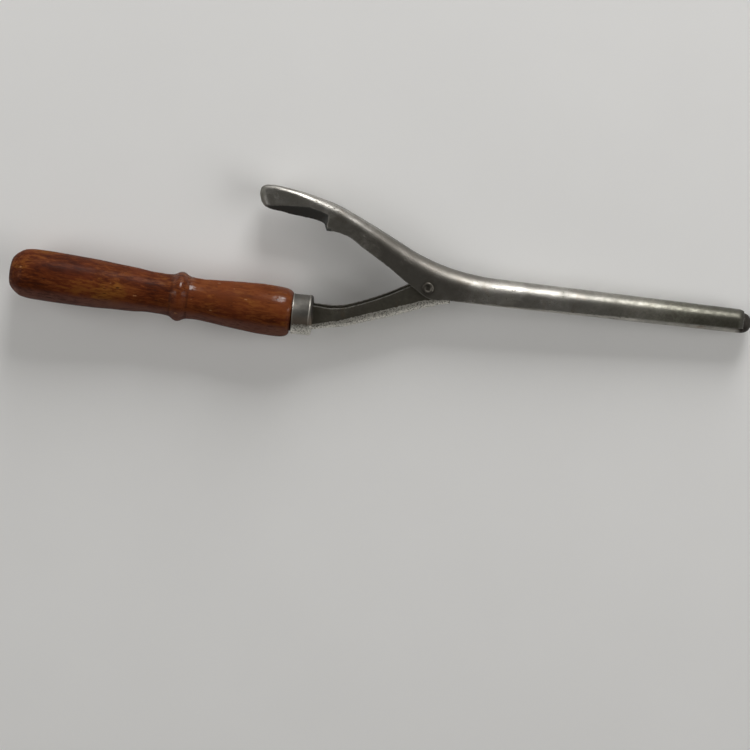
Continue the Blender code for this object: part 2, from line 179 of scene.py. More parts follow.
NOTCH = (-38.4, 21.5)  # where the lip's notch lies, and the height that it stays under

# Darker spots on the lever's sides, grime round the pivot and painted shade that carries the lip's shade
# on past its notch and down the wall: x and y, reach and share
GRIME_AND_SHADE_SPOTS = [(0.0, 0.0, 3.8, 0.6), (-35.0, 19.8, 5.0, 0.5), (-28.6, 14.6, 5.5, 0.55)]

# Barrel: the rod tapers towards its tip, and the clamp's trough lies over it
ROD_ROOT_X = 3.8
ROD_SPIGOT_END_X = 8.8
ROD_SPIGOT_RADIUS = 3.95
ROD_FLATS_END_X = 21.0
ROD_NOSE_X = 111.6
ROD_NOSE_LENGTH = 4.5
NOSE_FULLNESS = 0.84
ROD_ROOT_RADIUS = 4.4
ROD_TIP_RADIUS = 3.73
CLAMP_ROOT_X = 22.0
CLAMP_END_X = 113.1
CLAMP_EDGE_ROOT_Y = -3.35
CLAMP_EDGE_TIP_Y = -1.5
CLAMP_KEYS = (22.0, 45.0, 68.0, 90.0, 106.0, 110.6)
CLAMP_TIP_KEYS = ((111.6, 0.04), (112.2, 0.15), (112.7, 0.32), (113.1, 0.56))

# The shank: bottom x and y, top edge x and y, half width, bottom corner radius
SHANK_STATIONS = [
    (-40.6, -20.2, -40.6, -11.3, 3.9, 2.7),
    (-38.6, -20.0, -38.6, -11.3, 4.0, 2.8),
    (-34.4, -19.0, -35.2, -11.5, 4.2, 2.9),
    (-28.0, -17.7, -30.5, -11.1, 4.3, 3.4),
    (-20.5, -15.2, -23.0, -8.6, 4.3, 3.9),
    (-12.0, -12.3, -14.8, -4.9, 4.3, 4.0),
    (-4.0, -9.2, -7.0, -0.6, 4.3, 4.0),
    (1.5, -7.2, -1.0, 2.6, 4.3, 3.6),
    (8.3, -5.2, 8.6, 2.2, 4.3, 3.0),
    (20.6, -4.9, 20.6, 1.7, 4.3, 2.6),
]
SHANK_HALF_WIDTH = 4.3
TANG_HALF_WIDTH = 2.3
TANG_FRONT = (-44.6, 2.5)
TANG_END = (-86.0, 1.7)
TANG_CORNER = 1.4
FLOOR_END_X = 8.3
CHEEK_BOTTOM_Y = -3.1

# Pivot, rivets and spring
PIVOT_HALF_WIDTH = 5.45
RIVET_RADIUS = 1.45
ROD_RIVET_X = 14.0
ROD_RIVET_RADIUS = 1.2
BUSH_WALL = 0.5
SPRING_WIRE_RADIUS = 0.45
SPRING_TURNS = 3
SPRING_PITCH = 1.15
SPRING_LEG_INSET = 0.35
SPRING_START = math.radians(215)
SPRING_EXTRA_TURN = 280  # degrees, past its whole turns
SPRING_STEPS = 40  # in each turn
LOWER_LEG = [(-6.0, -6.3), (-14.0, -10.8), (-19.5, -13.2)]
UPPER_LEG = [(-6.2, 7.2), (-14.0, 12.8), (-18.0, 15.3)]

ROUND_STEPS = 96
SMOOTH_ANGLE = math.radians(32)

# Studio: softboxes by name, azimuth from +X towards +Y, elevation, distance, size and power
SOFTBOXES = [
    ("key_softbox", 85.7, 22.0, 1.3, (0.6, 0.62), 13.0),
    ("left_softbox", 180.0, 34.0, 1.5, (1.2, 0.8), 7.0),
    ("right_softbox", 0.0, 34.0, 1.5, (1.2, 0.8), 8.0),
]

# The surround's colours, from the horizon to straight up
SURROUND = [
    (0.0, (0.40, 0.40, 0.39)),
    (0.09, (0.28, 0.28, 0.27)),
    (0.3, (0.065, 0.06, 0.052)),
    (1.0, (0.046, 0.042, 0.034)),
]


# ---------------------------------------------------------------------------- materials


class Surface:
    """A material in the making: each call adds a node and returns its output."""

    def __init__(self, name):
        self.material = bpy.data.materials.new(name)
        self.material.use_nodes = True
        self.tree = self.material.node_tree
        self.shader = self.tree.nodes["Principled BSDF"]
        where = self.tree.nodes.new("ShaderNodeTexCoord").outputs["Object"]
        self.place = self.scaled(where, (1000.0, 1000.0, 1000.0))

    def feed(self, socket, value):
        if isinstance(value, bpy.types.NodeSocket):
            self.tree.links.new(value, socket)
        else:
            socket.default_value = value

    def node(self, kind, inputs, **settings):
        made = self.tree.nodes.new(kind)
        for key, value in settings.items():
            setattr(made, key, value)
        for key, value in inputs.items():
            self.feed(made.inputs[key], value)
        return made

    def scaled(self, vector, scale):
        made = self.node("ShaderNodeVectorMath", {0: vector}, operation="MULTIPLY")
        made.inputs[1].default_value = scale
        return made.outputs[0]

    def turned(self, vector, angles):
        made = self.node("ShaderNodeVectorRotate", {"Vector": vector}, rotation_type="EULER_XYZ")
        made.inputs["Rotation"].default_value = [math.radians(angle) for angle in angles]
        return made.outputs[0]

    def axis(self, name):
        return self.node("ShaderNodeSeparateXYZ", {0: self.place}).outputs[name]

    def calc(self, operation, *values):
        return self.node("ShaderNodeMath", dict(enumerate(values)), operation=operation).outputs[0]

    def noise(self, scale, detail=3.0, stretch=(1.0, 1.0, 1.0), roughness=0.5, twist=0.0, turn=None):
        vector = self.turned(self.place, turn) if turn else self.place
        inputs = {
            "Vector": self.scaled(vector, stretch),
            "Scale": scale,
            "Detail": detail,
            "Roughness": roughness,
            "Distortion": twist,
        }
        return self.node("ShaderNodeTexNoise", inputs).outputs["Fac"]

    def cells(self, scale, stretch=(1.0, 1.0, 1.0)):
        """Distance to the nearest cell's middle, and a random number for each cell."""
        inputs = {"Vector": self.scaled(self.place, stretch), "Scale": scale}
        made = self.node("ShaderNodeTexVoronoi", inputs)
        chance = self.node("ShaderNodeSeparateColor", {0: made.outputs["Color"]})
        return made.outputs["Distance"], chance.outputs[0]

    def step(self, value, low, high):
        """0 at low and 1 at high, smoothly. It falls where low is the larger."""
        ends = (0.0, 1.0) if high > low else (1.0, 0.0)
        inputs = {"Value": value, "From Min": min(low, high), "From Max": max(low, high)}
        inputs["To Min"], inputs["To Max"] = ends
        return self.node("ShaderNodeMapRange", inputs, interpolation_type="SMOOTHSTEP").outputs[0]

    def mix(self, share, first, second):
        made = self.tree.nodes.new("ShaderNodeMix")
        made.data_type = "RGBA"
        self.feed(made.inputs[0], share)
        for socket, value in ((made.inputs[6], first), (made.inputs[7], second)):
            self.feed(socket, value if isinstance(value, bpy.types.NodeSocket) else (*value, 1.0))
        return made.outputs[2]

    def blend(self, share, first, second):
        inputs = {0: share, 2: first, 3: second}
        return self.node("ShaderNodeMix", inputs, data_type="FLOAT").outputs[0]

    def attribute(self, name):
        return self.node("ShaderNodeAttribute", {}, attribute_name=name).outputs["Fac"]

    def bump(self, height, distance):
        """Distance is how far, in millimetres, a height of 1 stands out."""
        inputs = {"Height": height, "Distance": distance * MM, "Strength": 1.0}
        return self.node("ShaderNodeBump", inputs).outputs[0]

    def lay(self, share, colour=None, rough=None, height=None, metal=None):
        """Lays another finish over the surface where share is 1."""
        if colour is not None:
            self.colour = self.mix(share, self.colour, colour)
        if rough is not None:
            self.rough = self.blend(share, self.rough, rough)
        if height is not None:
            self.height = self.blend(share, self.height, height)
        if metal is not None:
            self.metal = self.blend(share, self.metal, metal)

    def metal_finish(self):
        """Connects the layers of a steel surface."""
        normal = self.bump(self.height, 0.05)
        return self.finish(
            Base_Color=self.colour, Metallic=self.metal, Roughness=self.rough, Normal=normal
        )

    def finish(self, **sockets):
        for key, value in sockets.items():
            self.feed(self.shader.inputs[key.replace("_", " ")], value)
        return self.material


def steel(name, tone, roughness, pitted, stained=0.3):
    """Old steel: clouded, drawn along X, scratched, pitted and stained."""
    s = Surface(name)
    cloud = s.noise(0.11, 6.0, roughness=0.6)
    fine_cloud = s.noise(0.7, 5.0, roughness=0.65)
    lines = s.noise(4.0, 3.0, stretch=(0.03, 1.0, 1.0), roughness=0.6)
    scuffs = s.noise(1.1, 2.0, stretch=(0.16, 1.0, 1.0), turn=(0.0, 0.0, 24.0))
    scratch = s.step(s.calc("ABSOLUTE", s.calc("SUBTRACT", scuffs, 0.5)), 0.006, 0.0)
    hairs = s.noise(2.1, 2.0, stretch=(1.0, 0.1, 1.0), turn=(0.0, 0.0, 58.0))
    hair = s.step(s.calc("ABSOLUTE", s.calc("SUBTRACT", hairs, 0.47)), 0.004, 0.0)

    distance, chance = s.cells(1.1)
    dots = s.calc("MULTIPLY", s.step(distance, 0.36, 0.2), s.step(chance, 0.9 - pitted * 0.4, 0.92))
    blots = s.step(s.noise(0.95, 4.0, roughness=0.7), 0.68 - pitted * 0.1, 0.74 - pitted * 0.1)
    where = s.step(s.noise(0.07, 2.0), 0.58 - pitted * 0.25, 0.7 - pitted * 0.2)
    pits = s.calc("MULTIPLY", s.calc("MAXIMUM", dots, blots), where)
    grain = s.calc("MULTIPLY", s.noise(1.5, 4.0, roughness=0.75), where)

    dark = tuple(c * 0.6 for c in tone)
    light = tuple(min(1.0, c * 1.16) for c in tone)
    colour = s.mix(s.step(cloud, 0.32, 0.68), dark, light)
    colour = s.mix(s.calc("MULTIPLY", s.step(fine_cloud, 0.5, 0.72), 0.4), colour, dark)
    stain = s.step(s.noise(0.16, 5.0, roughness=0.65, twist=0.6), 0.56, 0.7)
    colour = s.mix(s.calc("MULTIPLY", stain, stained), colour, (0.2, 0.13, 0.075))
    colour = s.mix(s.calc("MULTIPLY", scratch, 0.35), colour, light)
    s.colour = s.mix(s.calc("MULTIPLY", pits, 0.85), colour, (0.07, 0.056, 0.042))

    rough = s.blend(s.step(cloud, 0.3, 0.7), roughness + 0.07, roughness - 0.05)
    rough = s.calc("ADD", rough, s.calc("MULTIPLY", s.calc("SUBTRACT", lines, 0.5), 0.16))
    s.rough = s.calc("ADD", rough, s.calc("MULTIPLY", pits, 0.3))
    height = s.calc("ADD", s.calc("MULTIPLY", lines, 0.16), s.calc("MULTIPLY", fine_cloud, 0.5))
    height = s.calc("ADD", height, s.calc("MULTIPLY", grain, 2.6))
    height = s.calc("SUBTRACT", height, s.calc("MULTIPLY", pits, 0.9))
    s.height = s.calc("SUBTRACT", height, s.calc("MULTIPLY", s.calc("MAXIMUM", scratch, hair), 0.14))
    s.metal = s.blend(pits, 1.0, 0.35)
    return s


def wear_edges(s, strength):
    """Brightens a pressed sheet beside its cut edges, unevenly. The strength may vary."""
    worn = s.step(s.attribute("edge"), 0.42, 0.12)
    worn = s.calc("MULTIPLY", worn, s.step(s.noise(0.7, 4.0, roughness=0.65), 0.32, 0.6))
    s.lay(s.calc("MULTIPLY", worn, strength), colour=(0.62, 0.6, 0.56), rough=0.3)


def etched_with_painted_sheen(s, where):
    """Coarse etched metal with dark specks, where the finish has gone, painted pale: partly etched metal
    and partly a painted reflection of the pale surface below.
    """
    grit = s.noise(1.5, 4.0, roughness=0.75)
    pale_specks = s.step(grit, 0.36, 0.54)
    speckled = s.mix(pale_specks, (0.17, 0.155, 0.13), (0.8, 0.78, 0.72))
    rough = s.blend(pale_specks, 0.6, 0.46)
    s.lay(where, speckled, rough, s.calc("MULTIPLY", grit, 1.2))


def distance_from(s, x, y):
    """The distance, in millimetres, from the line that runs along local Z through x and y."""
    offsets = [s.calc("SUBTRACT", s.axis("X"), x), s.calc("SUBTRACT", s.axis("Y"), y)]
    return s.calc("SQRT", s.calc("ADD", *[s.calc("MULTIPLY", offset, offset) for offset in offsets]))


def clamp_steel(name):
    """The lever and clamp: oxidised lips painted dark as painted shade, also at their notch, a
    heat-dulled tip, a handled pivot with grime round it, and painted shade beside the notch and at both
    ends.
    """
    patina = (0.14, 0.129, 0.111)
    scorch = (0.045, 0.043, 0.032)
    dull = (0.2, 0.195, 0.17)
    lip_oxide_and_shade = (0.055, 0.055, 0.05)
    end_soot_and_shade = (0.035, 0.033, 0.028)
    s = steel(name, (0.37, 0.355, 0.325), 0.36, 0.5)
    uneven = s.calc("SUBTRACT", s.noise(0.3, 4.0, roughness=0.6), 0.5)
    place = s.calc("ADD", s.axis("X"), s.calc("MULTIPLY", uneven, 30.0))
    handled = s.calc("MULTIPLY", s.step(place, -34.0, -18.0), s.step(place, 28.0, 8.0))
    s.lay(s.calc("MULTIPLY", handled, 0.72), patina, 0.43)
    burnt = s.step(place, 38.0, 94.0)
    scale = s.step(s.noise(0.8, 4.0, roughness=0.7), 0.4, 0.62)
    mottle = s.mix(scale, (0.08, 0.077, 0.055), (0.152, 0.147, 0.112))
    s.lay(s.calc("MULTIPLY", burnt, 0.85), mottle, s.blend(scale, 0.42, 0.3), metal=0.5)
    s.lay(s.calc("MULTIPLY", s.step(place, 80.0, 108.0), 0.66), scorch, metal=0.75)
    # painted shade: the thumb's end is painted darker, and made rougher, so that the left softbox's
    # reflection stays faint
    s.lay(s.step(s.axis("X"), -60.8, -62.2), dull, 0.5)
    # painted shade: the clamp's very end is painted near black, as heat soot and to keep the right
    # softbox's reflection off it
    s.lay(s.calc("MULTIPLY", s.step(s.axis("X"), 111.0, 112.6), 0.8), end_soot_and_shade, 0.6)
    unburnt = s.step(s.axis("X"), 88.0, 70.0)
    # grime round the pivot, and painted shade beside and below the lip's notch
    for x, y, reach, share in GRIME_AND_SHADE_SPOTS:
        away = s.calc("ADD", distance_from(s, x, y), s.calc("MULTIPLY", uneven, 3.0))
        dirt_and_shade = s.step(away, reach, reach / 2)
        s.lay(s.calc("MULTIPLY", dirt_and_shade, share), (0.085, 0.078, 0.063), 0.5)
    # edges worn brighter towards the thumb, where the lever is handled
    brightened = s.calc("MULTIPLY", s.step(s.axis("X"), -34.0, -24.0), unburnt)
    wear_edges(s, s.blend(brightened, 0.15, 0.6))
    fringe = s.calc("MULTIPLY", uneven, 0.5)
    lip = s.step(s.calc("ADD", s.attribute("lip"), fringe), 0.1, 0.55)
    notch = s.step(s.calc("ABSOLUTE", s.calc("SUBTRACT", s.axis("X"), NOTCH[0])), 2.2, 1.6)
    notch = s.calc("MULTIPLY", notch, s.step(s.axis("Y"), NOTCH[1], NOTCH[1] - 1.0))
    notch = s.calc("MULTIPLY", notch, s.step(s.attribute("edge"), 1.4, 0.6))
    # painted shade: the turned-in lips and the notch's cut edge are painted dark, as some oxidising and
    # as the shade that falls in the lips' curl
    s.lay(s.calc("MAXIMUM", lip, notch), lip_oxide_and_shade, 0.6, metal=0.55)
    return s.metal_finish()


def shank_steel(name):
    """The shank: its rounded back is etched and painted pale, partly as a painted reflection of the
    surface below.
    """
    s = steel(name, (0.2, 0.188, 0.155), 0.4, 0.3)
    wear_edges(s, 0.6)
    fringe = s.calc("MULTIPLY", s.calc("SUBTRACT", s.noise(0.9, 3.0), 0.5), 0.7)
    # painted reflection: the etched rounded back is painted pale, partly for the pale surface it faces
    # below
    etched_with_painted_sheen(s, s.step(s.calc("ADD", s.attribute("belly"), fringe), 0.42, 0.58))
    return s.metal_finish()


def ferrule_steel(name):
    """The ferrule: matte, its front face painted dark as painted shade, its underside etched and painted
    pale as a painted reflection of the surface below, and its bead and rear rim worn and painted bright
    as painted highlights.
    """
    s = steel(name, (0.14, 0.133, 0.12), 0.64, 0.2)
    # painted shade: the domed front face is painted dark, so that the right softbox's reflection on its
    # shoulder stays faint
    face = s.step(s.axis("Z"), FERRULE_LENGTH - 0.8, FERRULE_LENGTH - 0.2)
    s.lay(s.calc("MULTIPLY", face, 0.7), (0.06, 0.055, 0.048), 0.55)
    # painted highlight: the bead and rear rim are painted bright, partly as wear and partly as the
    # bright lines that light makes on them
    from_bead = s.calc("ABSOLUTE", s.calc("SUBTRACT", s.axis("Z"), FERRULE_BEAD))
    brightened = s.calc("MAXIMUM", s.step(from_bead, 0.34, 0.12), s.step(s.axis("Z"), 0.5, 0.2))
    s.lay(s.calc("MULTIPLY", brightened, 0.7), (0.42, 0.4, 0.36), 0.36)
    fringe = s.calc("MULTIPLY", s.calc("SUBTRACT", s.noise(0.9, 3.0), 0.5), 2.0)
    rusty = s.step(s.calc("ADD", s.axis("Y"), fringe), 1.8, -2.0)
    s.lay(s.calc("MULTIPLY", rusty, 0.5), (0.25, 0.195, 0.145), 0.62)
    # painted reflection: the underside is etched and painted pale, partly for the pale surface below
    etched_with_painted_sheen(s, s.step(s.calc("ADD", s.axis("Y"), fringe), -2.5, -3.2))
    return s.metal_finish()


def rod_steel(name):
    """The rod: a paler steel along the barrel, burnt dark at its nose."""
    s = steel(name, (0.5, 0.48, 0.44), 0.4, 0.4, stained=0.5)
    uneven = s.calc("MULTIPLY", s.calc("SUBTRACT", s.noise(0.5, 3.0), 0.5), 5.0)
    nose = s.step(s.calc("ADD", s.axis("Z"), uneven), ROD_NOSE_X - 1.5, ROD_NOSE_X + 1.5)
    s.lay(s.calc("MULTIPLY", nose, 0.95), (0.026, 0.022, 0.018), 0.6, metal=0.9)
    return s.metal_finish()


def rivet_steel(name):
    """The rivets: matte, with grime in the dimple and painted shade along one side of the rim."""
    s = steel(name, (0.165, 0.153, 0.132), 0.44, 0.6)
    dimple = s.step(distance_from(s, 0.0, 0.0), 1.3, 0.7)
    # painted shade: the rim's -X side is painted darker, as the shade on it
    side = s.calc("ADD", s.axis("X"), s.calc("MULTIPLY", s.axis("Y"), -0.3))
    dirt_and_shade = s.calc("MAXIMUM", dimple, s.calc("MULTIPLY", s.step(side, -0.1, -0.9), 0.8))
    s.lay(s.calc("MULTIPLY", dirt_and_shade, 0.85), (0.05, 0.044, 0.036), 0.6)
    return s.metal_finish()


def spring_steel(name):
    return steel(name, (0.22, 0.22, 0.23), 0.36, 0.2).metal_finish()


def varnished_wood(name):
    """Turned hardwood under worn varnish. The piece's own Z runs along the grain, from the butt."""
    s = Surface(name)
    wander = s.noise(0.16, 3.0, stretch=(1.0, 1.0, 0.16), roughness=0.55)
    rings = s.calc("ADD", s.calc("MULTIPLY", s.axis("X"), 0.42), s.calc("MULTIPLY", s.axis("Y"), 0.2))
    rings = s.calc("ADD", rings, s.calc("MULTIPLY", wander, 3.4))
    ring = s.step(s.calc("SINE", s.calc("MULTIPLY", rings, 2.6)), -0.9, 1.0)
    streak = s.noise(0.95, 5.0, stretch=(1.0, 1.0, 0.26), roughness=0.68, twist=0.4)
    fibre = s.noise(4.2, 3.0, stretch=(1.0, 1.0, 0.05), roughness=0.6)
    patch = s.noise(0.1, 3.0, stretch=(1.0, 1.0, 0.5))
    depth = s.calc("ADD", s.calc("MULTIPLY", ring, 0.06), s.calc("MULTIPLY", streak, 1.0))
    depth = s.calc("ADD", depth, s.calc("MULTIPLY", s.calc("SUBTRACT", patch, 0.5), 0.6))

    golden = s.step(s.noise(0.085, 3.0, stretch=(1.0, 1.0, 0.7), twist=0.5), 0.5, 0.64)
    orange = s.mix(s.calc("MULTIPLY", golden, 0.8), (0.15, 0.042, 0.011), (0.21, 0.078, 0.014))
    brown = (0.076, 0.0165, 0.0045)
    umber = (0.042, 0.0095, 0.004)
    colour = s.mix(s.step(depth, 0.34, 0.5), umber, brown)
    colour = s.mix(s.step(depth, 0.47, 0.7), colour, orange)
    colour = s.mix(s.calc("MULTIPLY", s.step(fibre, 0.52, 0.7), 0.4), colour, umber)
    reddish = s.step(s.noise(0.075, 2.0), 0.45, 0.62)
    colour = s.mix(s.calc("MULTIPLY", reddish, 0.4), colour, (0.115, 0.024, 0.008))
    # painted light: the front half's upper side, which faces the key light, is painted a lighter orange
    brightened = s.calc("MULTIPLY", s.step(s.axis("Z"), 62.0, 70.0), s.step(s.axis("Y"), -2.0, 3.0))
    colour = s.mix(s.calc("MULTIPLY", brightened, 0.3), colour, (0.21, 0.058, 0.015))
    # painted reflection: the lower flank is painted a paler, greyer brown, as the sheen of the pale
    # surface below
    lower_flank_sheen = s.step(s.calc("ADD", s.axis("Y"), s.calc("MULTIPLY", streak, 3.0)), -1.6, -4.0)
    pale = s.mix(s.step(depth, 0.36, 0.6), (0.074, 0.029, 0.021), (0.142, 0.064, 0.048))
    s.colour = s.mix(s.calc("MULTIPLY", lower_flank_sheen, 0.78), colour, pale)

    distance, chance = s.cells(1.0, (1.0, 1.0, 0.22))
    pores = s.calc("MULTIPLY", s.step(distance, 0.2, 0.1), s.step(chance, 0.55, 0.6))
    distance, chance = s.cells(0.42, (1.0, 1.0, 0.4))
    fleck_edge = s.calc("MULTIPLY", s.noise(2.2, 3.0), 0.22)
    chip_glints = s.step(s.calc("ADD", distance, fleck_edge), 0.25, 0.19)
    chip_glints = s.calc("MULTIPLY", chip_glints, s.step(chance, 0.62, 0.66))
    nicks = s.noise(0.9, 2.0, stretch=(1.0, 1.0, 0.18), turn=(8.0, 5.0, 0.0))
    nick_glints = s.step(s.calc("ABSOLUTE", s.calc("SUBTRACT", nicks, 0.55)), 0.006, 0.0)
    nick_glints = s.calc("MULTIPLY", nick_glints, s.step(s.noise(0.1, 2.0), 0.5, 0.6))
    grime = 0.0
    for middle, reach in GRIME_BANDS:
        band = s.step(s.calc("ABSOLUTE", s.calc("SUBTRACT", s.axis("Z"), middle)), reach, 0.0)
        grime = s.calc("MAXIMUM", grime, band)
    grime = s.calc("MULTIPLY", grime, s.step(s.noise(0.5, 3.0), 0.25, 0.6))

    worn = s.step(s.noise(0.09, 4.0, stretch=(1.0, 1.0, 0.6), roughness=0.6), 0.46, 0.62)
    s.rough = s.blend(worn, 0.5, 0.62)
    s.height = s.calc("ADD", s.calc("MULTIPLY", fibre, 0.35), s.calc("MULTIPLY", s.noise(0.5, 3.0), 1.8))
    s.lay(s.calc("MULTIPLY", pores, 0.75), colour=(0.018, 0.006, 0.004))
    # chips and nicks painted lighter: partly bare wood, partly painted glints in their dents
    s.lay(s.calc("MULTIPLY", chip_glints, 0.68), (0.33, 0.15, 0.065), 0.5)
    s.lay(s.calc("MULTIPLY", nick_glints, 0.35), colour=(0.22, 0.09, 0.04))
    s.lay(s.calc("MULTIPLY", grime, 0.45), (0.022, 0.009, 0.006), 0.65)
    for dent, depth in ((pores, 0.9), (chip_glints, 0.8), (nick_glints, 0.5)):
        s.height = s.calc("SUBTRACT", s.height, s.calc("MULTIPLY", dent, depth))
    s.shader.inputs["Coat Roughness"].default_value = 0.14
    s.shader.inputs["Specular IOR Level"].default_value = 0.045
    normal = s.bump(s.height, 0.07)
    on_bead = s.step(s.calc("ABSOLUTE", s.calc("SUBTRACT", s.axis("Z"), HANDLE_BEAD)), 5.5, 3.0)
    glossy = s.calc("MAXIMUM", on_bead, s.step(s.axis("Z"), 93.5, 97.5))
    glossy = s.calc("MULTIPLY", glossy, s.step(s.noise(1.3, 3.0, roughness=0.65), 0.36, 0.6))
    glossy = s.calc("MULTIPLY", glossy, s.step(s.axis("Y"), 1.0, 3.0))
    coat = s.calc("ADD", s.blend(worn, 0.02, 0.0), s.calc("MULTIPLY", glossy, 0.6))
    return s.finish(Base_Color=s.colour, Roughness=s.rough, Normal=normal, Coat_Weight=coat)


def plain_floor(name):
    s = Surface(name)
    tint = s.noise(0.02, 3.0)
    colour = s.mix(tint, (0.84, 0.835, 0.82), (0.88, 0.875, 0.86))
    return s.finish(Base_Color=colour, Roughness=0.7)


# ---------------------------------------------------------------------------- meshes


def add_piece(name, mesh, material):
    """A new object whose origin is the pivot. Its mesh is in metres from there."""
    piece = bpy.data.objects.new(name, mesh)
    bpy.context.scene.collection.objects.link(piece)
    piece.location = PIVOT
    mesh.materials.append(material)
    return piece


def mesh_from(bm, name):
    bmesh.ops.recalc_face_normals(bm, faces=bm.faces)
    mesh = bpy.data.meshes.new(name)
    bm.to_mesh(mesh)
    bm.free()
    return mesh


def smooth(mesh):
    mesh.shade_smooth()
    mesh.set_sharp_from_angle(angle=SMOOTH_ANGLE)


def settle(piece, cutters=()):
    """Applies the piece's modifiers, so that its mesh is final, and removes the cutters."""
    bpy.context.view_layer.update()
    depsgraph = bpy.context.evaluated_depsgraph_get()
    mesh = bpy.data.meshes.new_from_object(
        piece.evaluated_get(depsgraph), preserve_all_data_layers=True, depsgraph=depsgraph
    )
    mesh.name = piece.name
    piece.modifiers.clear()
    piece.data = mesh
    for cutter in cutters:
        bpy.data.objects.remove(cutter, do_unlink=True)
    smooth(piece.data)
    return piece


def cut(piece, cutter):
    boolean = piece.modifiers.new("cut", "BOOLEAN")
    boolean.operation = "DIFFERENCE"
    boolean.solver = "EXACT"
    boolean.object = cutter


def cutter_from(bm, name):
    cutter = bpy.data.objects.new(name, mesh_from(bm, name))
    bpy.context.scene.collection.objects.link(cutter)
    cutter.location = PIVOT
    cutter.hide_render = True
    return cutter


def round_cutter(name, radius, centre, reach):
    bm = bmesh.new()
    place = Matrix.Translation((centre[0] * MM, centre[1] * MM, 0.0))
    bmesh.ops.create_cone(
        bm,
        cap_ends=True,
        segments=48,
        radius1=radius * MM,
        radius2=radius * MM,
        depth=2 * reach * MM,
        matrix=place,
    )
    return cutter_from(bm, name)


def box_cutter(name, low, high):
    bm = bmesh.new()
    size = (Vector(high) - Vector(low)) * MM
    middle = (Vector(high) + Vector(low)) / 2 * MM
    place = Matrix.Translation(middle) @ Matrix.Diagonal((*size, 1.0))
    bmesh.ops.create_cube(bm, size=1.0, matrix=place)
    return cutter_from(bm, name)


def revolved(name, profile, material, steps=ROUND_STEPS, shape=None):
    """A turned piece about local Z, from points (radius, height). shape may change a point's radius."""
    bm = bmesh.new()
    loops = []
    for radius, height in profile:
        if radius == 0.0:
            loops.append([bm.verts.new((0.0, 0.0, height * MM))])
            continue
        loop = []
        for i in range(steps):
            angle = 2 * math.pi * i / steps
            here = shape(radius, height, angle) if shape else radius
            across, up = here * math.cos(angle) * MM, here * math.sin(angle) * MM
            loop.append(bm.verts.new((across, up, height * MM)))
        loops.append(loop)
    for first, second in zip(loops, loops[1:]):
        for i in range(steps):
            j = (i + 1) % steps
            corners = [first[i % len(first)], first[j % len(first)]]
            corners += [second[j % len(second)], second[i % len(second)]]
            unique = list(dict.fromkeys(corners))
            if len(unique) > 2:
                bm.faces.new(unique)
    mesh = mesh_from(bm, name)
    smooth(mesh)
    return add_piece(name, mesh, material)


def lay_along(piece, start, lean=0.0):
    """Turns a piece's local Z into the barrel's direction, starting from a point."""
    piece.location = PIVOT + Vector((start[0], start[1], 0.0)) * MM
    piece.rotation_euler = (0.0, math.radians(90), lean)


def eased(keys, spacing, longest):
    """Rows between the key rows, eased with slopes that never overshoot them."""
    keys = np.array(keys, float)
    steps = np.linalg.norm(np.diff(keys[:, :2], axis=0), axis=1)
    slope = np.diff(keys, axis=0) / steps[:, None]
    tangent = np.zeros_like(keys)
    same_way = slope[1:] * slope[:-1] > 0
    mean = 2 * slope[1:] * slope[:-1] / np.where(same_way, slope[1:] + slope[:-1], 1.0)
    tangent[1:-1] = np.where(same_way, mean, 0.0)
    tangent[0] = slope[0]
    tangent[-1] = slope[-1]
    rows = []
    for i, length in enumerate(steps):
        count = int(np.clip(math.ceil(length / spacing), 1, longest))
        for t in np.arange(count) / count:
            near = (1 + 2 * t) * (1 - t) ** 2 * keys[i] + t * (1 - t) ** 2 * length * tangent[i]
            far = t * t * (3 - 2 * t) * keys[i + 1] + t * t * (t - 1) * length * tangent[i + 1]
            rows.append(near + far)
    rows.append(keys[-1])
    return rows


def half_section(height, half_width, corner, curl, lip, steps):
    """Points (across, down, turned) from the middle of the back, round its corner and down one side.
    The lip beside the open edge turns in along a crease, which runs out to the edge as the curl ends.
    turned goes from 0 on the side to 1 on the lip."""
    corner = min(corner, half_width - CROWN_FLAT)
    points = [(0.0, 0.0, 0.0)]
    corner_steps, wall_steps, lip_steps = steps
    for i in range(corner_steps + 1):
        turn = math.radians(90) * i / corner_steps
        across = half_width - corner + corner * math.sin(turn)
        points.append((across, corner * (1 - math.cos(turn)), 0.0))
    fullness = math.sqrt(min(curl / FULL_CURL, 1.0))
    lip = min(lip, (height - corner) * 0.9)
    straight = height - corner - lip
    for i in range(1, wall_steps + 1):
        points.append((half_width, corner + straight * i / wall_steps, 0.0))
    start = hinge(0.0, lip)
    full = hinge(lip, lip) - start
    for i in range(1, lip_steps + 1):
        down = lip * i / lip_steps
        across = half_width - curl * (hinge(down, lip) - start) / full
        beyond = down - CREASE * lip
        turned = (1 + beyond / math.hypot(beyond, LIP_BEND)) / 2 * fullness
        points.append((across, height - lip + down, turned))
    return points


def hinge(down, lip):
    """A ramp that is flat above the crease and straight below it, with a rounded change between."""
    beyond = down - CREASE * lip
    return (math.hypot(beyond, LIP_BEND) + beyond) / 2


